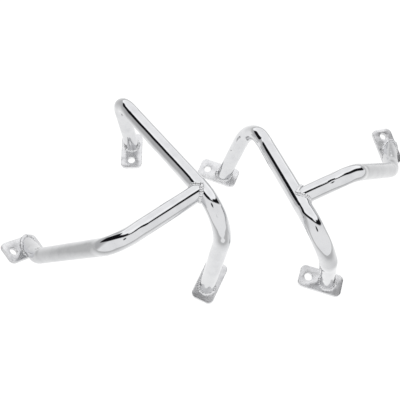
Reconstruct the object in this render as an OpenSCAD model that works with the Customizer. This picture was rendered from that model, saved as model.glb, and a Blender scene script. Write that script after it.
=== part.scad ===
// Pair of tubular motorcycle crash bars, lying on their mounting plates.
// Each bar is a bent hoop tube with a coped brace tube, three welded plates and four weld beads.

/* [Tube] */
// Outside diameter of the guard tube
tube_d = 25; // [23:0.5:27]
// Wall thickness of the guard tube
tube_wall = 2; // [1.5:0.1:3]
// Centreline radius of the two bends of each brace
brace_bend_r = 42; // [36:1:48]

/* [Mounting plates] */
// Length of a mounting plate
plate_l = 72; // [68:1:78]
// Width of a mounting plate
plate_w = 38; // [34:1:42]
// Thickness of a mounting plate
plate_t = 6; // [4:0.5:8]
// Radius of the plate's rounded corners
plate_corner_r = 9; // [6:0.5:12]
// Diameter of the bolt hole
bolt_hole_d = 13; // [11:0.5:14]
// From the bolt hole's centre to the end of the plate
hole_edge = 15; // [13:0.5:17]
// From the bolt hole's centre to the middle of the tube
hole_to_tube = 32; // [30:0.5:34]

/* [Welds] */
// Width of a weld bead beside the tube
bead_w = 3.2; // [2:0.1:4]
// Height of a weld bead up the tube
bead_h = 3.6; // [2:0.1:5]

// Gap between the coped brace and the hoop
cope_gap = 0.15; // [0.1:0.05:0.3]

/* [Left bar] */
// Lower mount from the origin, sideways
left_x = -14.39; // [-40:0.01:40]
// Lower mount from the origin, front to back
left_y = -143.46; // [-190:0.01:-110]
// Upper mount from the lower mount, sideways
left_upper_x = -144.5; // [-150:1:-128]
// Upper mount from the lower mount, front to back
left_upper_y = 269.5; // [262:1:284]
// Centreline radius of the top bend
left_top_r = 44; // [40:1:50]
// Top bend from the lower mount, sideways
left_top_x = -151.5; // [-165:1:-143]
// Top bend from the lower mount, front to back
left_top_y = 272.5; // [266:1:288]
// Height of the top bend's corner
left_top_z = 145; // [130:1:160]
// Centreline radius of the lower bend
left_knee_r = 56; // [48:1:60]
// Lower bend from the lower mount, sideways
left_knee_x = 24.5; // [12:1:32]
// Lower bend from the lower mount, front to back
left_knee_y = 33.5; // [28:1:48]
// Height of the lower bend's corner
left_knee_z = 209; // [195:1:225]
// Brace joint before the lower bend's corner
left_brace_back = 63; // [58:1:80]
// Mid bend of the brace from the lower mount, sideways
left_mid_x = -120.5; // [-134:1:-112]
// Mid bend of the brace from the lower mount, front to back
left_mid_y = -7.5; // [-14:1:8]
// Height of the brace's mid bend
left_mid_z = 213; // [200:1:226]
// End bend of the brace from the lower mount, sideways
left_end_x = -267.7; // [-278:1:-258]
// End bend of the brace from the lower mount, front to back
left_end_y = 28.2; // [18:1:38]
// Height of the brace's end bend
left_end_z = 60; // [54:1:66]
// Rear mount from the lower mount, sideways
left_rear_x = -298.6; // [-308:1:-289]
// Rear mount from the lower mount, front to back
left_rear_y = 58.2; // [48:1:68]
// Direction of the upper plate's bolt hole
left_upper_turn = 272; // [257:1:287]
// Direction of the lower plate's bolt hole
left_lower_turn = 66; // [50:1:80]
// Direction of the rear plate's bolt hole
left_rear_turn = 232; // [225:1:250]
// Rise of the rear plate towards its bolt hole
left_rear_tip = 45; // [38:1:50]
// Sideways lean of the rear plate
left_rear_lean = -16; // [-22:1:-10]

/* [Right bar] */
// Lower mount from the origin, sideways
right_x = 185.11; // [150:0.01:240]
// Lower mount from the origin, front to back
right_y = -131.96; // [-170:0.01:-90]
// Upper mount from the lower mount, sideways
right_upper_x = -171; // [-187:1:-165]
// Upper mount from the lower mount, front to back
right_upper_y = 200; // [190:1:212]
// Centreline radius of the top bend
right_top_r = 58; // [50:1:64]
// Top bend from the lower mount, sideways
right_top_x = -132; // [-143:1:-121]
// Top bend from the lower mount, front to back
right_top_y = 234; // [223:1:245]
// Height of the top bend's corner
right_top_z = 128; // [115:1:142]
// Centreline radius of the lower bend
right_knee_r = 50; // [44:1:58]
// Lower bend from the lower mount, sideways
right_knee_x = -48; // [-58:1:-38]
// Lower bend from the lower mount, front to back
right_knee_y = -18; // [-28:1:-8]
// Height of the lower bend's corner
right_knee_z = 210; // [196:1:226]
// Brace joint before the lower bend's corner
right_brace_back = 95; // [85:1:105]
// Mid bend of the brace from the lower mount, sideways
right_mid_x = 0; // [-8:1:8]
// Mid bend of the brace from the lower mount, front to back
right_mid_y = 102; // [94:1:110]
// Height of the brace's mid bend
right_mid_z = 198; // [190:1:210]
// End bend of the brace from the lower mount, sideways
right_end_x = 120.6; // [118:1:138]
// End bend of the brace from the lower mount, front to back
right_end_y = 193.3; // [190:1:210]
// Height of the brace's end bend
right_end_z = 46; // [40:1:54]
// Rear mount from the lower mount, sideways
right_rear_x = 138.9; // [131:1:151]
// Rear mount from the lower mount, front to back
right_rear_y = 254.5; // [245:1:265]
// Direction of the upper plate's bolt hole
right_upper_turn = 160; // [140:1:170]
// Direction of the lower plate's bolt hole
right_lower_turn = 163; // [150:1:176]
// Direction of the rear plate's bolt hole
right_rear_turn = 105; // [100:1:124]
// Rise of the rear plate towards its bolt hole
right_rear_tip = 6; // [3:1:11]
// Sideways lean of the rear plate
right_rear_lean = 5; // [1:1:9]

/* [Hidden] */
$fn = 48;
tube_r = tube_d / 2;
bore_r = tube_r - tube_wall;
hole_end = hole_to_tube + hole_edge;
far_end = plate_l - hole_end;
core_w = plate_w / 2 - plate_corner_r;
bead_layers = 3;
weld_fit = 0.02;
// A bend draws the tube's wall in slightly, and laps into its straights by this many degrees
bend_draw = 0.03;
bend_lap = 0.4;
brace_radii = [brace_bend_r, brace_bend_r];

// Height of a plate's top face at the tube, with the tilted plate's lowest edge on the ground
function seat_z(tip, lean) =
    (far_end - plate_corner_r) * sin(tip)
    + core_w * abs(sin(lean) * cos(tip))
    + plate_corner_r * norm([sin(tip), sin(lean) * cos(tip)])
    + plate_t * cos(lean) * cos(tip);

function unit(v) = v / norm(v);
function turn(a, b, c) = acos(unit(b - a) * unit(c - b));
function setback(a, b, c, r) = r * tan(turn(a, b, c) / 2);

// A mount is its place on the plate's top face, the hole's direction, the tip and the lean
left_mounts = [
    [[left_x + left_upper_x, left_y + left_upper_y, seat_z(0, 0)], left_upper_turn, 0, 0],
    [[left_x, left_y, seat_z(0, 0)], left_lower_turn, 0, 0],
    [[left_x + left_rear_x, left_y + left_rear_y, seat_z(left_rear_tip, left_rear_lean)],
        left_rear_turn, left_rear_tip, left_rear_lean]];
left_top = [left_x + left_top_x, left_y + left_top_y, left_top_z];
left_knee = [left_x + left_knee_x, left_y + left_knee_y, left_knee_z];
left_joint = left_knee + unit(left_top - left_knee) * left_brace_back;
left_mid = [left_x + left_mid_x, left_y + left_mid_y, left_mid_z];
left_end = [left_x + left_end_x, left_y + left_end_y, left_end_z];
left_radii = [left_top_r, left_knee_r];
left_hoop = [left_mounts[0][0], left_top, left_knee, left_mounts[1][0]];
left_brace = [left_joint, left_mid, left_end, left_mounts[2][0]];

right_mounts = [
    [[right_x + right_upper_x, right_y + right_upper_y, seat_z(0, 0)], right_upper_turn, 0, 0],
    [[right_x, right_y, seat_z(0, 0)], right_lower_turn, 0, 0],
    [[right_x + right_rear_x, right_y + right_rear_y, seat_z(right_rear_tip, right_rear_lean)],
        right_rear_turn, right_rear_tip, right_rear_lean]];
right_top = [right_x + right_top_x, right_y + right_top_y, right_top_z];
right_knee = [right_x + right_knee_x, right_y + right_knee_y, right_knee_z];
right_joint = right_knee + unit(right_top - right_knee) * right_brace_back;
right_mid = [right_x + right_mid_x, right_y + right_mid_y, right_mid_z];
right_end = [right_x + right_end_x, right_y + right_end_y, right_end_z];
right_radii = [right_top_r, right_knee_r];
right_hoop = [right_mounts[0][0], right_top, right_knee, right_mounts[1][0]];
right_brace = [right_joint, right_mid, right_end, right_mounts[2][0]];

// Points p to q of a path's straight, clear of the bends at its ends
function leave(a, b, c, r) = b + unit(c - b) * setback(a, b, c, r);
function enter(a, b, c, r) = b - unit(b - a) * setback(a, b, c, r);

// Places its children with +Z along the line from p to q
module along(p, q) {
    d = q - p;
    translate(p)
        rotate([0, acos(d[2] / norm(d)), atan2(d[1], d[0])])
            children();
}

// Round bar of radius r from p to q, run on past q by extra
module bar(p, q, r, extra = 0) {
    along(p, q)
        cylinder(r = r, h = norm(q - p) + extra);
}

// Straight tube from p to q, run on past q by extra
module pipe(p, q, extra = 0) {
    along(p, q)
        difference() {
            cylinder(r = tube_r, h = norm(q - p) + extra);
            translate([0, 0, -1])
                cylinder(r = bore_r, h = norm(q - p) + extra + 2);
        }
}

// Sweeps its 2D children, drawn round the tube's centre, through the bend at the corner b of the path a, b, c
module bend(a, b, c, bend_r) {
    u = unit(b - a);
    w = unit(c - b);
    m = unit(w - u * (u * w));
    n = cross(u, m);
    centre = enter(a, b, c, bend_r) + m * bend_r;
    multmatrix([[-m[0], u[0], n[0], centre[0]],
                [-m[1], u[1], n[1], centre[1]],
                [-m[2], u[2], n[2], centre[2]],
                [0, 0, 0, 1]])
        rotate([0, 0, -bend_lap])
            rotate_extrude(angle = turn(a, b, c) + 2 * bend_lap)
                translate([bend_r, 0])
                    children();
}

module pipe_bend(a, b, c, bend_r) {
    bend(a, b, c, bend_r)
        difference() {
            circle(r = tube_r - bend_draw);
            circle(r = bore_r + bend_draw);
        }
}

// Tube along the four corners of a path, with two bends
module bent_pipe(path, r1, r2, start_extra, end_extra) {
    a = path[0];
    b = path[1];
    c = path[2];
    d = path[3];
    pipe(enter(a, b, c, r1), a, start_extra);
    pipe_bend(a, b, c, r1);
    pipe(leave(a, b, c, r1), enter(b, c, d, r2));
    pipe_bend(b, c, d, r2);
    pipe(leave(b, c, d, r2), d, end_extra);
}

// Solid outline of a hoop around the brace's joint, grown by extra
module hoop_at_joint(path, r1, r2, extra) {
    bar(leave(path[0], path[1], path[2], r1), enter(path[1], path[2], path[3], r2), tube_r + extra);
    bend(path[1], path[2], path[3], r2)
        circle(r = tube_r + extra - bend_draw);
}

// Puts its children on a mount: the tube's middle at the origin, the hole along +X, the plate below z = 0
module on_mount(mount) {
    translate(mount[0])
        rotate([mount[3], -mount[2], mount[1]])
            children();
}

module below_mount(mount) {
    on_mount(mount)
        translate([-3 * tube_d, -3 * tube_d, -3 * tube_d])
            cube([6 * tube_d, 6 * tube_d, 3 * tube_d]);
}

module hoop_tube(path, radii, mounts) {
    difference() {
        bent_pipe(path, radii[0], radii[1], tube_d, tube_d);
        below_mount(mounts[0]);
        below_mount(mounts[1]);
    }
}

module brace_tube(path, radii, mounts, hoop, hoop_radii) {
    difference() {
        bent_pipe(path, radii[0], radii[1], 0, 2 * tube_d);
        hoop_at_joint(hoop, hoop_radii[0], hoop_radii[1], cope_gap);
        below_mount(mounts[2]);
    }
}

module plate_outline() {
    x_min = -far_end;
    x_max = hole_end;
    translate([x_min + plate_corner_r, -plate_w / 2])
        square([plate_l - 2 * plate_corner_r, plate_w]);
    translate([x_min, -core_w])
        square([plate_l, 2 * core_w]);
    for (x = [x_min + plate_corner_r, x_max - plate_corner_r], y = [-core_w, core_w])
        translate([x, y])
            circle(r = plate_corner_r);
}

module mount_plate(mount) {
    on_mount(mount)
        translate([0, 0, -plate_t])
            difference() {
                linear_extrude(plate_t)
                    plate_outline();
                translate([hole_to_tube, 0, -1])
                    cylinder(d = bolt_hole_d, h = plate_t + 2);
            }
}

// Bead around a tube that stands on a plate, in layers that step in towards the tube
module plate_weld(mount, from) {
    at = mount[0];
    difference() {
        for (i = [0 : bead_layers - 1])
            intersection() {
                bar(from, at, tube_r + bead_w * sqrt(1 - pow(i / bead_layers, 2)), tube_d * 2);
                on_mount(mount)
                    translate([-2 * tube_d, -2 * tube_d, i * bead_h / bead_layers])
                        cube([4 * tube_d, 4 * tube_d, bead_h / bead_layers]);
            }
        bar(from, at, tube_r + weld_fit, tube_d * 2 + 1);
    }
}

// Bead in the saddle between the brace and the hoop
module brace_weld(brace, hoop, hoop_radii) {
    difference() {
        intersection() {
            bar(brace[0], brace[1], tube_r + bead_w);
            bar(hoop[1], hoop[2], tube_r + bead_h);
        }
        bar(brace[0], brace[1], tube_r + cope_gap, 1);
        hoop_at_joint(hoop, hoop_radii[0], hoop_radii[1], 0);
    }
}

module left_hoop_tube() { color("gainsboro") hoop_tube(left_hoop, left_radii, left_mounts); }
module left_brace_tube() { color("gainsboro") brace_tube(left_brace, brace_radii, left_mounts, left_hoop, left_radii); }
module left_upper_plate() { color("lightgray") mount_plate(left_mounts[0]); }
module left_lower_plate() { color("lightgray") mount_plate(left_mounts[1]); }
module left_rear_plate() { color("lightgray") mount_plate(left_mounts[2]); }
module left_upper_weld() { color("silver") plate_weld(left_mounts[0], left_hoop[1]); }
module left_lower_weld() { color("silver") plate_weld(left_mounts[1], left_hoop[2]); }
module left_rear_weld() { color("silver") plate_weld(left_mounts[2], left_brace[2]); }
module left_brace_weld() { color("silver") brace_weld(left_brace, left_hoop, left_radii); }
module right_hoop_tube() { color("gainsboro") hoop_tube(right_hoop, right_radii, right_mounts); }
module right_brace_tube() { color("gainsboro") brace_tube(right_brace, brace_radii, right_mounts, right_hoop, right_radii); }
module right_upper_plate() { color("lightgray") mount_plate(right_mounts[0]); }
module right_lower_plate() { color("lightgray") mount_plate(right_mounts[1]); }
module right_rear_plate() { color("lightgray") mount_plate(right_mounts[2]); }
module right_upper_weld() { color("silver") plate_weld(right_mounts[0], right_hoop[1]); }
module right_lower_weld() { color("silver") plate_weld(right_mounts[1], right_hoop[2]); }
module right_rear_weld() { color("silver") plate_weld(right_mounts[2], right_brace[2]); }
module right_brace_weld() { color("silver") brace_weld(right_brace, right_hoop, right_radii); }

left_hoop_tube();
left_brace_tube();
left_upper_plate();
left_lower_plate();
left_rear_plate();
left_upper_weld();
left_lower_weld();
left_rear_weld();
left_brace_weld();
right_hoop_tube();
right_brace_tube();
right_upper_plate();
right_lower_plate();
right_rear_plate();
right_upper_weld();
right_lower_weld();
right_rear_weld();
right_brace_weld();
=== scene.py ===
import math
import random

import bpy
from mathutils import Matrix, Vector


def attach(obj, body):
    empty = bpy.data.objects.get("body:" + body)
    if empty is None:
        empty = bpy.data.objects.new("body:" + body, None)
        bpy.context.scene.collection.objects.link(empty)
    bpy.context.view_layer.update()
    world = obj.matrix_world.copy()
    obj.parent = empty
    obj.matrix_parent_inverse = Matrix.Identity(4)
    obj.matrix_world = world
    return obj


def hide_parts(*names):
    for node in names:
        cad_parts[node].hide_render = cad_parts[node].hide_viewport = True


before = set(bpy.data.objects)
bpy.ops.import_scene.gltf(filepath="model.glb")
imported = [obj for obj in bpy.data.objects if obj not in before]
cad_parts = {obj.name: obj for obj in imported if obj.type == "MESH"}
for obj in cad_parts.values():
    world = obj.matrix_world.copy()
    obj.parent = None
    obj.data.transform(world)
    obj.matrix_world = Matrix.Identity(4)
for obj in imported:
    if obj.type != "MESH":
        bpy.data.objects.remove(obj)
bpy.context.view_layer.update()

mm = 0.001


def selectOnly(obj):
    if bpy.context.object and bpy.context.object.mode != "OBJECT":
        bpy.ops.object.mode_set(mode="OBJECT")
    bpy.ops.object.select_all(action="DESELECT")
    obj.select_set(True)
    bpy.context.view_layer.objects.active = obj


def settle(obj):
    # the piece keeps its place in its mesh, with its object at the origin
    selectOnly(obj)
    bpy.ops.object.transform_apply(location=True, rotation=True, scale=True)


def applyModifier(obj, kind, **settings):
    selectOnly(obj)
    bpy.ops.object.modifier_add(type=kind)
    added = obj.modifiers[-1]
    for key, value in settings.items():
        setattr(added, key, value)
    bpy.ops.object.modifier_apply(modifier=added.name)


def cutAway(obj, cutter):
    applyModifier(obj, "BOOLEAN", object=cutter, operation="DIFFERENCE", solver="EXACT")


def dropObject(obj):
    bpy.data.objects.remove(obj, do_unlink=True)


def smooth(obj, angle=35):
    selectOnly(obj)
    bpy.ops.object.shade_smooth_by_angle(angle=math.radians(angle))


def closedOutwards(obj):
    selectOnly(obj)
    bpy.ops.object.mode_set(mode="EDIT")
    bpy.ops.mesh.select_all(action="SELECT")
    bpy.ops.mesh.remove_doubles(threshold=0.00001)
    bpy.ops.mesh.normals_make_consistent(inside=False)
    bpy.ops.object.mode_set(mode="OBJECT")


# all six mounting plates are alike, with the sizes of the CAD model
plate = {
    "length": 72 * mm, "width": 38 * mm, "thickness": 6 * mm, "corner": 9 * mm, "cornerSteps": 12,
    "holeRadius": 6.5 * mm, "holeEdge": 15 * mm, "holeToTube": 32 * mm, "holeSides": 48,
    "edgeRound": 0.9 * mm, "roundSteps": 4, "sharpEdge": 50, "smoothEdge": 40,
}
plate["holeEnd"] = plate["holeToTube"] + plate["holeEdge"]
plate["farEnd"] = plate["length"] - plate["holeEnd"]


def seatHeight(tip, lean):
    # how high the tube's middle stands on the plate, when the tilted plate rests on the floor
    coreWidth = plate["width"] / 2 - plate["corner"]
    slopeX = math.sin(tip)
    slopeY = abs(math.sin(lean) * math.cos(tip))
    return ((plate["farEnd"] - plate["corner"]) * slopeX + coreWidth * slopeY
            + plate["corner"] * math.hypot(slopeX, slopeY)
            + plate["thickness"] * math.cos(lean) * math.cos(tip))


# in millimetres and degrees: origin is the lower mount, the rest is measured from it, heights from the floor
leftBar = {
    "side": "left", "seed": 11, "origin": (-14.39, -143.46),
    "upper": (-144.5, 269.5), "top": (-151.5, 272.5, 145), "knee": (24.5, 33.5, 209), "jointBack": 63,
    "mid": (-120.5, -7.5, 213), "end": (-267.7, 28.2, 60), "rear": (-298.6, 58.2),
    "topRadius": 44, "kneeRadius": 56,
    "upperTurn": 272, "lowerTurn": 66, "rearTurn": 232, "rearTip": 45, "rearLean": -16,
}
rightBar = {
    "side": "right", "seed": 47, "origin": (185.11, -131.96),
    "upper": (-171, 200), "top": (-132, 234, 128), "knee": (-48, -18, 210), "jointBack": 95,
    "mid": (0, 102, 198), "end": (120.6, 193.3, 46), "rear": (138.9, 254.5),
    "topRadius": 58, "kneeRadius": 50,
    "upperTurn": 160, "lowerTurn": 163, "rearTurn": 105, "rearTip": 6, "rearLean": 5,
}


def mountMatrix(bar, which):
    # the tube's middle at the origin, the hole along +X and the plate below z = 0
    tip = math.radians(bar["rearTip"]) if which == "rear" else 0.0
    lean = math.radians(bar["rearLean"]) if which == "rear" else 0.0
    away = (0, 0) if which == "lower" else bar[which]
    at = Vector(((bar["origin"][0] + away[0]) * mm, (bar["origin"][1] + away[1]) * mm, seatHeight(tip, lean)))
    turned = (Matrix.Rotation(math.radians(bar[which + "Turn"]), 4, "Z")
              @ Matrix.Rotation(-tip, 4, "Y") @ Matrix.Rotation(lean, 4, "X"))
    return Matrix.Translation(at) @ turned


def corner(bar, which):
    x, y, z = bar[which]
    return Vector(((bar["origin"][0] + x) * mm, (bar["origin"][1] + y) * mm, z * mm))


tube = {
    "radius": 12.5 * mm, "wall": 2.0 * mm, "braceBend": 42 * mm,
    "sides": 80, "bendStep": math.radians(1.8), "fewestSteps": 6,
    "bendFade": 14 * mm, "fadeRings": 5, "bendMargin": 0.6,  # the margin is a share of the radius
    "hoopLead": 30 * mm, "braceLead": 60 * mm, "cutBlock": 160 * mm,
}


def skeleton(bar):
    # the centrelines' corners, from mount to mount
    mounts = {which: mountMatrix(bar, which) for which in ("upper", "lower", "rear")}
    top, knee = corner(bar, "top"), corner(bar, "knee")
    joint = knee + (top - knee).normalized() * bar["jointBack"] * mm
    hoop = [mounts["upper"].translation.copy(), top, knee, mounts["lower"].translation.copy()]
    brace = [joint, corner(bar, "mid"), corner(bar, "end"), mounts["rear"].translation.copy()]
    return {"mounts": mounts, "hoop": hoop, "brace": brace,
            "hoopRadii": (bar["topRadius"] * mm, bar["kneeRadius"] * mm),
            "braceRadii": (tube["braceBend"], tube["braceBend"])}


def bendAt(a, b, c, radius):
    into, out = (b - a).normalized(), (c - b).normalized()
    turn = into.angle(out)
    setback = radius * math.tan(turn / 2)
    towards = (out - into * into.dot(out)).normalized()
    first, last = b - into * setback, b + out * setback
    return {"turn": turn, "first": first, "last": last,
            "centre": first + towards * radius, "axis": into.cross(out).normalized()}


def pullStraight(here, there):
    # rings stand close beside the bends, where the metal's ripples fade out
    run = there - here
    rings = tube["fadeRings"]
    short = run.normalized() * tube["bendFade"] / (rings - 1)
    steps = [run]
    if run.length > 3 * tube["bendFade"]:
        steps = [short] * rings + [run - short * (2 * rings)] + [short] * rings
    for step in steps:
        bpy.ops.mesh.extrude_region_move(TRANSFORM_OT_translate={"value": step})


def bentSkin(name, path, radii, radius, leadIn, leadOut):
    # a ring pulled along the straights and spun round the bends, left open at both ends
    a, b, c, d = path
    heading = (b - a).normalized()
    start = a - heading * leadIn
    bpy.ops.object.select_all(action="DESELECT")
    bpy.ops.mesh.primitive_circle_add(
        vertices=tube["sides"], radius=radius, location=start,
        rotation=heading.to_track_quat("Z", "Y").to_euler())
    skin = bpy.context.object
    skin.name = name
    settle(skin)
    bpy.ops.object.mode_set(mode="EDIT")
    bpy.ops.mesh.select_all(action="SELECT")
    here = start
    for corners, bendRadius in (((a, b, c), radii[0]), ((b, c, d), radii[1])):
        bend = bendAt(*corners, bendRadius)
        pullStraight(here, bend["first"])
        steps = max(tube["fewestSteps"], round(bend["turn"] / tube["bendStep"]))
        bpy.ops.mesh.spin(steps=steps, angle=-bend["turn"], center=bend["centre"], axis=bend["axis"])
        here = bend["last"]
    pullStraight(here, d + (d - c).normalized() * leadOut)
    bpy.ops.object.mode_set(mode="OBJECT")
    side = skin.data.polygons[0]
    if side.normal.dot(side.center - start) < 0:
        bpy.ops.object.mode_set(mode="EDIT")
        bpy.ops.mesh.select_all(action="SELECT")
        bpy.ops.mesh.flip_normals()
        bpy.ops.object.mode_set(mode="OBJECT")
    return skin


def solidBar(name, path, radii, radius):
    # a closed bar of the tube's outline, used only to cut with
    bar = bentSkin(name, path, radii, radius, 0.0, 0.0)
    selectOnly(bar)
    bpy.ops.object.mode_set(mode="EDIT")
    bpy.ops.mesh.select_all(action="DESELECT")
    bpy.ops.mesh.select_non_manifold()
    bpy.ops.mesh.edge_face_add()
    bpy.ops.object.mode_set(mode="OBJECT")
    closedOutwards(bar)
    return bar


def underPlane(matrix):
    # a block below a plate's upper face, which cuts a tube's end flat
    size = tube["cutBlock"]
    bpy.ops.object.select_all(action="DESELECT")
    bpy.ops.mesh.primitive_cube_add(size=size, location=(0, 0, 0))
    block = bpy.context.object
    block.matrix_world = matrix @ Matrix.Translation((0, 0, -size / 2))
    settle(block)
    return block


def markBends(piece, path, radii):
    # each point's share of bend, from 0 on the straights to 1 in the bends, where the metal is rippled
    share = piece.data.attributes.new("bendShare", "FLOAT", "POINT")
    bends = [bendAt(*path[:3], radii[0]), bendAt(*path[1:], radii[1])]
    for vertex in piece.data.vertices:
        inside = 0.0
        for bend, radius in zip(bends, radii):
            middle = (bend["first"] + bend["last"]) / 2 - bend["centre"]
            arcMiddle = bend["centre"] + middle.normalized() * radius
            halfArc = radius * bend["turn"] / 2 + tube["radius"] * tube["bendMargin"]
            past = (vertex.co - arcMiddle).length - halfArc
            inside = max(inside, min(1.0, max(0.0, 1 - past / tube["bendFade"])))
        share.data[vertex.index].value = inside * inside * (3 - 2 * inside)


def makeTube(name, path, radii, leadIn, leadOut, cutters):
    piece = bentSkin(name, path, radii, tube["radius"], leadIn, leadOut)
    applyModifier(piece, "SOLIDIFY", thickness=tube["wall"], offset=-1.0, use_rim=True, use_even_offset=True)
    for cutter in cutters:
        cutAway(piece, cutter)
    smooth(piece)
    markBends(piece, path, radii)
    return piece


def makeMasterPlate():
    bpy.ops.object.select_all(action="DESELECT")
    middle = (plate["holeEnd"] - plate["farEnd"]) / 2
    bpy.ops.mesh.primitive_cube_add(size=1, location=(middle, 0, -plate["thickness"] / 2))
    piece = bpy.context.object
    piece.name = "masterPlate"
    piece.scale = (plate["length"], plate["width"], plate["thickness"])
    settle(piece)
    bpy.ops.object.mode_set(mode="EDIT")
    bpy.ops.mesh.select_mode(type="EDGE")
    bpy.ops.mesh.select_all(action="DESELECT")
    bpy.ops.object.mode_set(mode="OBJECT")
    for edge in piece.data.edges:
        p, q = (piece.data.vertices[i].co for i in edge.vertices)
        edge.select = abs(p.z - q.z) > plate["thickness"] / 2
    bpy.ops.object.mode_set(mode="EDIT")
    bpy.ops.mesh.bevel(offset=plate["corner"], segments=plate["cornerSteps"], affect="EDGES",
                       clamp_overlap=False)
    bpy.ops.object.mode_set(mode="OBJECT")
    bpy.ops.object.select_all(action="DESELECT")
    bpy.ops.mesh.primitive_cylinder_add(
        vertices=plate["holeSides"], radius=plate["holeRadius"], depth=plate["thickness"] * 3,
        location=(plate["holeToTube"], 0, -plate["thickness"] / 2))
    drill = bpy.context.object
    cutAway(piece, drill)
    dropObject(drill)
    applyModifier(piece, "BEVEL", width=plate["edgeRound"], segments=plate["roundSteps"], profile=0.5,
                  limit_method="ANGLE", angle_limit=math.radians(plate["sharpEdge"]))
    smooth(piece, plate["smoothEdge"])
    return piece


def copyPlate(master, name, matrix):
    piece = master.copy()
    piece.data = master.data.copy()
    piece.name = name
    bpy.context.scene.collection.objects.link(piece)
    piece.matrix_world = matrix
    settle(piece)
    return piece


bead = {
    "pitch": 3.4 * mm, "long": 2.9 * mm, "across": 3.3 * mm, "thick": 2.3 * mm,
    "out": 0.7 * mm, "jitter": 0.35 * mm, "lift": 0.38, "smallest": 0.9, "largest": 1.14,
    "voxel": 0.42 * mm, "softening": 0.5, "ringPoints": 360, "lookAhead": 3,
}


def plateRing(matrix, fromPoint):
    # where the tube's outside meets the plate: points with the two surfaces' outward directions
    inside = matrix.inverted()
    axis = (inside @ fromPoint).normalized()
    sideways = axis.cross(Vector((0, 1, 0))).normalized()
    other = axis.cross(sideways)
    turned = matrix.to_3x3()
    ring = []
    for step in range(bead["ringPoints"]):
        angle = math.radians(step * 360 / bead["ringPoints"])
        outwards = sideways * math.cos(angle) + other * math.sin(angle)
        point = outwards * tube["radius"]
        point = point - axis * (point.z / axis.z)
        ring.append((matrix @ point, (turned @ outwards).normalized(), turned @ Vector((0, 0, 1))))
    return ring


def nearestOnHoop(bones, point):
    # nearest point on the hoop's centreline between the top bend and the lower mount
    a, b, c, d = bones["hoop"]
    topBend = bendAt(a, b, c, bones["hoopRadii"][0])
    kneeBend = bendAt(b, c, d, bones["hoopRadii"][1])
    start, end = topBend["last"], kneeBend["first"]
    along = (end - start).normalized()
    reach = (point - start).dot(along)
    if reach <= (end - start).length:
        return start + along * reach
    flat = point - kneeBend["centre"]
    flat = flat - kneeBend["axis"] * flat.dot(kneeBend["axis"])
    return kneeBend["centre"] + flat.normalized() * bones["hoopRadii"][1]


def saddleRing(bones):
    # the same where the brace's outside meets the hoop
    joint, mid = bones["brace"][0], bones["brace"][1]
    axis = (mid - joint).normalized()
    sideways = axis.cross(Vector((0, 0, 1))).normalized()
    other = axis.cross(sideways)
    ring = []
    for step in range(bead["ringPoints"]):
        angle = math.radians(step * 360 / bead["ringPoints"])
        outwards = sideways * math.cos(angle) + other * math.sin(angle)
        # halve the way along the brace until the point stands on the hoop's surface
        low, high = 0.0, 3 * tube["radius"]
        for halving in range(40):
            half = (low + high) / 2
            point = joint + outwards * tube["radius"] + axis * half
            if (point - nearestOnHoop(bones, point)).length < tube["radius"]:
                low = half
            else:
                high = half
        point = joint + outwards * tube["radius"] + axis * high
        ring.append((point, outwards, (point - nearestOnHoop(bones, point)).normalized()))
    return ring


def makeMasterRipple():
    # one drop of weld metal, which is copied along every bead
    bpy.ops.object.select_all(action="DESELECT")
    bpy.ops.mesh.primitive_uv_sphere_add(segments=24, ring_count=14, radius=1)
    ripple = bpy.context.object
    ripple.name = "masterRipple"
    ripple.scale = (bead["long"], bead["across"], bead["thick"])
    settle(ripple)
    return ripple


def makeWeld(name, ring, master, seed):
    rng = random.Random(seed)
    lengths = [0.0]
    for index in range(len(ring)):
        lengths.append(lengths[-1] + (ring[(index + 1) % len(ring)][0] - ring[index][0]).length)
    count = round(lengths[-1] / bead["pitch"])
    ripples = []
    position = 0
    for number in range(count):
        wanted = lengths[-1] * number / count
        while lengths[position + 1] < wanted:
            position += 1
        point, first, second = ring[position % len(ring)]
        ahead = ring[(position + bead["lookAhead"]) % len(ring)][0]
        outwards = (first + second).normalized()
        tangent = (ahead - point).normalized()
        tangent = (tangent - outwards * tangent.dot(outwards)).normalized()
        lifted = (outwards + tangent * bead["lift"]).normalized()
        forwards = (tangent - lifted * tangent.dot(lifted)).normalized()
        across = lifted.cross(forwards)
        place = point + outwards * (bead["out"] + rng.uniform(-1, 1) * bead["jitter"])
        place += across * rng.uniform(-1, 1) * bead["jitter"]
        ripple = master.copy()
        ripple.data = master.data.copy()
        bpy.context.scene.collection.objects.link(ripple)
        grow = rng.uniform(bead["smallest"], bead["largest"])
        turned = Matrix((forwards, across, lifted)).transposed().to_4x4()
        ripple.matrix_world = Matrix.Translation(place) @ turned @ Matrix.Scale(grow, 4)
        ripples.append(ripple)
    bpy.ops.object.select_all(action="DESELECT")
    for ripple in ripples:
        ripple.select_set(True)
    bpy.context.view_layer.objects.active = ripples[0]
    bpy.ops.object.join()
    weld = bpy.context.object
    weld.name = name
    settle(weld)
    applyModifier(weld, "REMESH", mode="VOXEL", voxel_size=bead["voxel"])
    applyModifier(weld, "SMOOTH", factor=bead["softening"], iterations=2)
    closedOutwards(weld)
    selectOnly(weld)
    bpy.ops.object.shade_smooth()
    return weld


plating = {
    "inputs": {"Bright": (0.7, 0.7, 0.71, 1), "Dull": (0.6, 0.6, 0.62, 1), "Polish": 0.05, "Haze": 0.06,
               "Grain Scale": 900.0, "Wave Scale": 55.0, "Wave Share": 0.9},
    "smearFrom": 0.42, "smearTo": 0.72,
}


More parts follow.
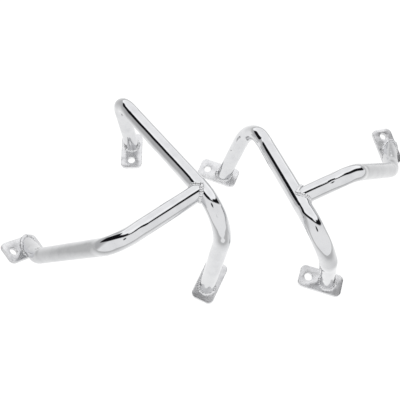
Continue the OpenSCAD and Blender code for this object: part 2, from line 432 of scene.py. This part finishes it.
def polishGroup():
    # how bright the plating is, how dull and how uneven, each changing over the surface
    group = bpy.data.node_groups.new("platedSurface", "ShaderNodeTree")
    group.interface.new_socket(name="Vector", in_out="INPUT", socket_type="NodeSocketVector")
    for label, value in plating["inputs"].items():
        kind = "NodeSocketColor" if isinstance(value, tuple) else "NodeSocketFloat"
        socket = group.interface.new_socket(name=label, in_out="INPUT", socket_type=kind)
        socket.default_value = value
    for label, kind in (("Color", "NodeSocketColor"), ("Roughness", "NodeSocketFloat"),
                        ("Height", "NodeSocketFloat")):
        group.interface.new_socket(name=label, in_out="OUTPUT", socket_type=kind)
    nodes, links = group.nodes, group.links
    given, made = nodes.new("NodeGroupInput"), nodes.new("NodeGroupOutput")

    def noise(scaleSocket, detail, rough):
        node = nodes.new("ShaderNodeTexNoise")
        node.inputs["Detail"].default_value = detail
        node.inputs["Roughness"].default_value = rough
        links.new(given.outputs["Vector"], node.inputs["Vector"])
        links.new(given.outputs[scaleSocket], node.inputs["Scale"])
        return node

    smears = noise("Wave Scale", 4.0, 0.6)
    grain = noise("Grain Scale", 3.0, 0.7)
    waves = noise("Wave Scale", 1.0, 0.4)
    # the smears make the plating duller and hazier in places
    spread = nodes.new("ShaderNodeMapRange")
    spread.inputs["From Min"].default_value = plating["smearFrom"]
    spread.inputs["From Max"].default_value = plating["smearTo"]
    links.new(smears.outputs["Fac"], spread.inputs["Value"])
    colour = nodes.new("ShaderNodeMix")
    colour.data_type = "RGBA"
    links.new(spread.outputs["Result"], colour.inputs["Factor"])
    links.new(given.outputs["Bright"], colour.inputs[6])
    links.new(given.outputs["Dull"], colour.inputs[7])
    hazed = nodes.new("ShaderNodeMath")
    hazed.operation = "MULTIPLY_ADD"
    links.new(spread.outputs["Result"], hazed.inputs[0])
    links.new(given.outputs["Haze"], hazed.inputs[1])
    links.new(given.outputs["Polish"], hazed.inputs[2])
    # long waves with a little grain in them
    uneven = nodes.new("ShaderNodeMix")
    links.new(given.outputs["Wave Share"], uneven.inputs["Factor"])
    links.new(grain.outputs["Fac"], uneven.inputs[2])
    links.new(waves.outputs["Fac"], uneven.inputs[3])
    links.new(colour.outputs[2], made.inputs["Color"])
    links.new(hazed.outputs["Value"], made.inputs["Roughness"])
    links.new(uneven.outputs[0], made.inputs["Height"])
    return group


def chromeMaterial(name, group, look):
    material = bpy.data.materials.new(name)
    material.use_nodes = True
    nodes, links = material.node_tree.nodes, material.node_tree.links
    shader = nodes["Principled BSDF"]
    shader.inputs["Metallic"].default_value = 1.0
    where = nodes.new("ShaderNodeTexCoord")
    surface = nodes.new("ShaderNodeGroup")
    surface.node_tree = group
    links.new(where.outputs["Object"], surface.inputs["Vector"])
    for label, value in look["surface"].items():
        surface.inputs[label].default_value = value
    bump = nodes.new("ShaderNodeBump")
    bump.inputs["Strength"].default_value = look["bumpStrength"]
    bump.inputs["Distance"].default_value = look["bumpDistance"]
    links.new(surface.outputs["Height"], bump.inputs["Height"])
    links.new(surface.outputs["Color"], shader.inputs["Base Color"])
    links.new(surface.outputs["Roughness"], shader.inputs["Roughness"])
    if "bendRipple" not in look:
        links.new(bump.outputs["Normal"], shader.inputs["Normal"])
        return material
    # bent metal isn't quite even, so the ripples grow where the tube is marked as bent
    ripple = look["bendRipple"]
    marked = nodes.new("ShaderNodeAttribute")
    marked.attribute_name = "bendShare"
    uneven = nodes.new("ShaderNodeTexNoise")
    uneven.inputs["Scale"].default_value = ripple["scale"]
    uneven.inputs["Detail"].default_value = 0.0
    links.new(where.outputs["Object"], uneven.inputs["Vector"])
    level = nodes.new("ShaderNodeMath")
    level.operation = "SUBTRACT"
    level.inputs[1].default_value = 0.5
    links.new(uneven.outputs["Fac"], level.inputs[0])
    grown = nodes.new("ShaderNodeMath")
    grown.operation = "MULTIPLY"
    links.new(level.outputs["Value"], grown.inputs[0])
    links.new(marked.outputs["Fac"], grown.inputs[1])
    bent = nodes.new("ShaderNodeBump")
    bent.inputs["Strength"].default_value = 1.0
    bent.inputs["Distance"].default_value = ripple["depth"]
    links.new(grown.outputs["Value"], bent.inputs["Height"])
    links.new(bump.outputs["Normal"], bent.inputs["Normal"])
    links.new(bent.outputs["Normal"], shader.inputs["Normal"])
    return material


tubeLook = {
    "surface": {"Bright": (0.70, 0.705, 0.715, 1), "Dull": (0.62, 0.625, 0.64, 1), "Polish": 0.045,
                "Haze": 0.05, "Grain Scale": 1400.0, "Wave Scale": 38.0, "Wave Share": 0.97},
    "bumpStrength": 0.35, "bumpDistance": 0.9 * mm,
    "bendRipple": {"scale": 34.0, "depth": 5.0 * mm},
}
plateLook = {
    "surface": {"Bright": (0.74, 0.742, 0.75, 1), "Dull": (0.66, 0.662, 0.675, 1), "Polish": 0.27,
                "Haze": 0.10, "Grain Scale": 900.0, "Wave Scale": 80.0, "Wave Share": 0.975},
    "bumpStrength": 0.5, "bumpDistance": 0.9 * mm,
}
weldLook = {
    "surface": {"Bright": (0.76, 0.762, 0.77, 1), "Dull": (0.58, 0.585, 0.6, 1), "Polish": 0.12,
                "Haze": 0.16, "Grain Scale": 1600.0, "Wave Scale": 260.0, "Wave Share": 0.7},
    "bumpStrength": 0.6, "bumpDistance": 0.8 * mm,
}


def dress(piece, material, node):
    piece.data.materials.clear()
    piece.data.materials.append(material)
    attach(piece, "root")
    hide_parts(node)


def makeBar(bar, chrome, masters):
    side, seed = bar["side"], bar["seed"]
    bones = skeleton(bar)
    planes = {which: underPlane(matrix) for which, matrix in bones["mounts"].items()}
    hoop = makeTube(side + "HoopTube", bones["hoop"], bones["hoopRadii"], tube["hoopLead"], tube["hoopLead"],
                    [planes["upper"], planes["lower"]])
    outline = solidBar("hoopOutline", bones["hoop"], bones["hoopRadii"], tube["radius"])
    brace = makeTube(side + "BraceTube", bones["brace"], bones["braceRadii"], 0.0, tube["braceLead"],
                     [outline, planes["rear"]])
    dropObject(outline)
    for block in planes.values():
        dropObject(block)
    dress(hoop, chrome["tube"], side + "_hoop_tube")
    dress(brace, chrome["tube"], side + "_brace_tube")
    for which in ("upper", "lower", "rear"):
        piece = copyPlate(masters["plate"], side + which.capitalize() + "Plate", bones["mounts"][which])
        dress(piece, chrome["plate"], f"{side}_{which}_plate")
    rings = {
        "upper": plateRing(bones["mounts"]["upper"], bones["hoop"][1]),
        "lower": plateRing(bones["mounts"]["lower"], bones["hoop"][2]),
        "rear": plateRing(bones["mounts"]["rear"], bones["brace"][2]),
        "brace": saddleRing(bones),
    }
    for order, (which, ring) in enumerate(rings.items()):
        weld = makeWeld(side + which.capitalize() + "Weld", ring, masters["ripple"], seed + order)
        dress(weld, chrome["weld"], f"{side}_{which}_weld")
    print(side, "bar made")


surface = polishGroup()
chrome = {
    "tube": chromeMaterial("chromedTube", surface, tubeLook),
    "plate": chromeMaterial("chromedPlate", surface, plateLook),
    "weld": chromeMaterial("chromedWeld", surface, weldLook),
}
print("chrome ready")
masters = {"plate": makeMasterPlate(), "ripple": makeMasterRipple()}
print("plate and weld ripple ready to copy")
makeBar(leftBar, chrome, masters)
makeBar(rightBar, chrome, masters)
for master in masters.values():
    dropObject(master)

studio = {
    "floorSize": 1.9, "floorDrop": 0.3 * mm, "floorColour": (0.16, 0.16, 0.16, 1), "floorGlow": 0.95,
    # the floor's glow in the chrome is painted light, a pool that dims from near the bars to far from them
    "glowPoolNear": 0.22, "glowPoolFar": 0.65, "glowPoolDim": 0.5,
    "lightStrength": 1.0, "edgeSoftness": 3.0,  # edges are angles from each direction, in degrees
    "seen": (1.0, 1.0, 1.0, 1), "tent": (1.04, 1.04, 1.045, 1),
    "wallDirection": Vector((-0.93, 0.34, -0.1)).normalized(), "wallEdge": 40.0, "wallSoftness": 12.0,
    "wall": (0.56, 0.56, 0.565, 1),
    "panelDirection": Vector((0.0, 0.89, 0.45)).normalized(), "panelEdge": 46.0,
    "panelMiddle": (1.12, 1.12, 1.13, 1), "panelRim": (1.34, 1.34, 1.35, 1),
    "rimStart": 33.0, "rimSoftness": 14.0,
    "gapEdge": 68.0, "gap": (0.008, 0.008, 0.01, 1),
    "gapFootHeight": (0.02, 0.12), "gapFoot": (0.6, 0.6, 0.61, 1),
    "doorDirection": Vector((-0.80, 0.52, 0.28)).normalized(), "doorEdge": 15.0,
    "overheadDirection": Vector((0.16, 0.29, 0.945)).normalized(), "overheadEdge": 11.5,
    "overhead": (1.15, 1.15, 1.16, 1),
    "lensDirection": Vector((-0.05, -0.45, 0.89)).normalized(), "lensEdge": 9.0,
    "lens": (0.05, 0.05, 0.055, 1),
}


def makeFloor():
    bpy.ops.object.select_all(action="DESELECT")
    bpy.ops.mesh.primitive_plane_add(size=studio["floorSize"], location=(0, 0, -studio["floorDrop"]))
    floor = bpy.context.object
    floor.name = "studioFloor"
    settle(floor)
    material = bpy.data.materials.new("paleFloor")
    material.use_nodes = True
    shader = material.node_tree.nodes["Principled BSDF"]
    shader.inputs["Base Color"].default_value = studio["floorColour"]
    shader.inputs["Roughness"].default_value = 0.9
    shader.inputs["Specular IOR Level"].default_value = 0.1
    shader.inputs["Emission Strength"].default_value = studio["floorGlow"]
    # the floor glows instead of being lit, pure white where it is seen; in the chrome the glow is a painted
    # pool of light, paler near the bars than far from them
    nodes, links = material.node_tree.nodes, material.node_tree.links
    where = nodes.new("ShaderNodeTexCoord")
    away = nodes.new("ShaderNodeVectorMath")
    away.operation = "LENGTH"
    links.new(where.outputs["Object"], away.inputs[0])
    glowPool = nodes.new("ShaderNodeMapRange")
    glowPool.inputs["From Min"].default_value = studio["glowPoolNear"]
    glowPool.inputs["From Max"].default_value = studio["glowPoolFar"]
    glowPool.inputs["To Min"].default_value = 1.0
    glowPool.inputs["To Max"].default_value = studio["glowPoolDim"]
    links.new(away.outputs["Value"], glowPool.inputs["Value"])
    rays = nodes.new("ShaderNodeLightPath")
    glow = nodes.new("ShaderNodeMath")
    glow.operation = "MAXIMUM"
    links.new(glowPool.outputs["Result"], glow.inputs[0])
    links.new(rays.outputs["Is Camera Ray"], glow.inputs[1])
    links.new(glow.outputs["Value"], shader.inputs["Emission Color"])
    floor.data.materials.append(material)


def makeLight():
    # a white tent with a greyer low wall, a bright back panel with a dark gap round it, a door that widens
    # the gap, a soft light overhead, and the lens opening; what stands behind the bars is seen as plain white
    world = bpy.data.worlds.new("softTent")
    bpy.context.scene.world = world
    world.use_nodes = True
    nodes, links = world.node_tree.nodes, world.node_tree.links
    background = nodes["Background"]
    background.inputs["Strength"].default_value = studio["lightStrength"]
    where = nodes.new("ShaderNodeTexCoord")

    def towards(direction):
        node = nodes.new("ShaderNodeVectorMath")
        node.operation = "DOT_PRODUCT"
        node.inputs[1].default_value = direction
        links.new(where.outputs["Generated"], node.inputs[0])
        return node.outputs["Value"]

    def fade(source, low, high):
        node = nodes.new("ShaderNodeMapRange")
        node.interpolation_type = "SMOOTHSTEP"
        node.inputs["From Min"].default_value = low
        node.inputs["From Max"].default_value = high
        links.new(source, node.inputs["Value"])
        return node.outputs["Result"]

    def within(direction, angle, softness):
        return fade(towards(direction), math.cos(math.radians(angle + softness)),
                    math.cos(math.radians(angle - softness)))

    def mix(mask, first, second):
        node = nodes.new("ShaderNodeMix")
        node.data_type = "RGBA"
        links.new(mask, node.inputs["Factor"])
        for socket, colour in ((node.inputs[6], first), (node.inputs[7], second)):
            if isinstance(colour, tuple):
                socket.default_value = colour
            else:
                links.new(colour, socket)
        return node.outputs[2]

    def patch(tent, name, colour):
        inside = within(studio[name + "Direction"], studio[name + "Edge"], studio["edgeSoftness"])
        return mix(inside, tent, colour)

    panelDirection, soft = studio["panelDirection"], studio["edgeSoftness"]
    wall = within(studio["wallDirection"], studio["wallEdge"], studio["wallSoftness"])
    tent = mix(wall, studio["tent"], studio["wall"])
    tent = patch(tent, "lens", studio["lens"])
    # the gap is black high up and pale at its foot
    gap = mix(fade(towards(Vector((0, 0, 1))), *studio["gapFootHeight"]), studio["gapFoot"], studio["gap"])
    tent = mix(within(panelDirection, studio["gapEdge"], soft), tent, gap)
    tent = patch(tent, "overhead", studio["overhead"])
    middle = within(panelDirection, studio["rimStart"], studio["rimSoftness"])
    tent = patch(tent, "panel", mix(middle, studio["panelRim"], studio["panelMiddle"]))
    tent = patch(tent, "door", gap)
    rays = nodes.new("ShaderNodeLightPath")
    tent = mix(rays.outputs["Is Camera Ray"], tent, studio["seen"])
    links.new(tent, background.inputs["Color"])


# the viewpoint that was fitted to the photograph
view = {
    "lens": 45, "sensor": 36, "place": (-0.02889, -0.37196, 0.8114),
    "right": Vector((0.9998, 0.0191, 0.0092)), "down": Vector((0.0211, -0.9013, -0.4326)),
    "ahead": Vector((0, 0.4327, -0.9015)),
}


def makeCamera():
    data = bpy.data.cameras.new("photoCamera")
    data.sensor_width = view["sensor"]
    data.lens = view["lens"]
    data.clip_start = 0.01
    camera = bpy.data.objects.new("photoCamera", data)
    bpy.context.scene.collection.objects.link(camera)
    turned = Matrix((view["right"], -view["down"], -view["ahead"])).transposed().to_4x4()
    camera.matrix_world = Matrix.Translation(view["place"]) @ turned
    bpy.context.scene.camera = camera


makeFloor()
makeLight()
makeCamera()
bpy.context.scene.view_settings.view_transform = "Standard"
print("studio ready")
